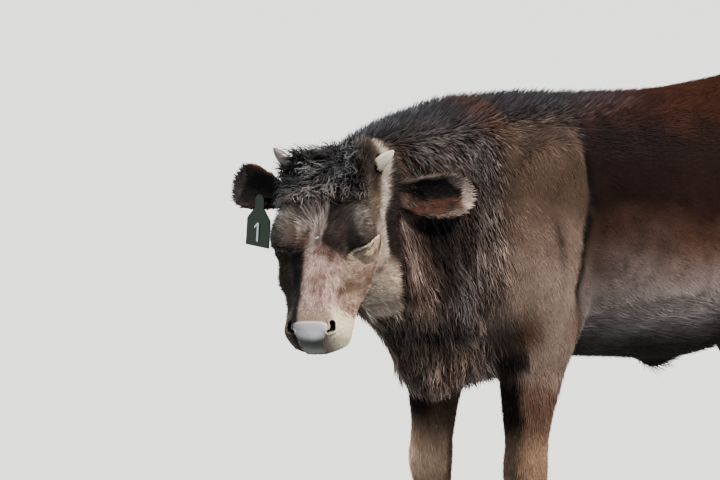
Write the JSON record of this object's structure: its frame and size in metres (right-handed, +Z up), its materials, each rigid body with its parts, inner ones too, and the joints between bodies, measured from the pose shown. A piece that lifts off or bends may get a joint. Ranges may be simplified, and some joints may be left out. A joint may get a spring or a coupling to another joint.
{
  "type": "calf model",
  "caption": "Life-size still model of a young dark beef calf standing square, head turned to its left and lowered, with short horns and a numbered ear tag.",
  "frame": {"origin": "on the floor, under the middle of the bounding box", "axes": "+Z up; the calf faces -Y and its left side is +X"},
  "size_m": [0.4354, 1.6624, 1.058],
  "materials": {
    "coat": "hair coat",
    "horn": "satin horn",
    "eye": "wet gloss",
    "claw": "dull horn",
    "tag": "satin",
    "tag_print": "matt print"
  },
  "bodies": {
    "root": {"claw_fore_left_inner": "claw", "claw_fore_left_outer": "claw", "claw_fore_right_inner": "claw", "claw_fore_right_outer": "claw", "claw_hind_left_inner": "claw", "claw_hind_left_outer": "claw", "claw_hind_right_inner": "claw", "claw_hind_right_outer": "claw", "dewclaw_fore_left_inner": "claw", "dewclaw_fore_left_outer": "claw", "dewclaw_fore_right_inner": "claw", "dewclaw_fore_right_outer": "claw", "dewclaw_hind_left_inner": "claw", "dewclaw_hind_left_outer": "claw", "dewclaw_hind_right_inner": "claw", "dewclaw_hind_right_outer": "claw", "ear_left": "coat", "ear_right": "coat", "ear_tag_digit": "tag_print", "ear_tag_panel": "tag", "ear_tag_stud": "tag", "eye_left": "eye", "eye_right": "eye", "foreleg_left": "coat", "foreleg_right": "coat", "head": "coat", "hindleg_left": "coat", "hindleg_right": "coat", "horn_left": "horn", "horn_right": "horn", "neck": "coat", "tail": "coat", "tail_switch": "coat", "trunk": "coat"}
  },
  "joints": []
}
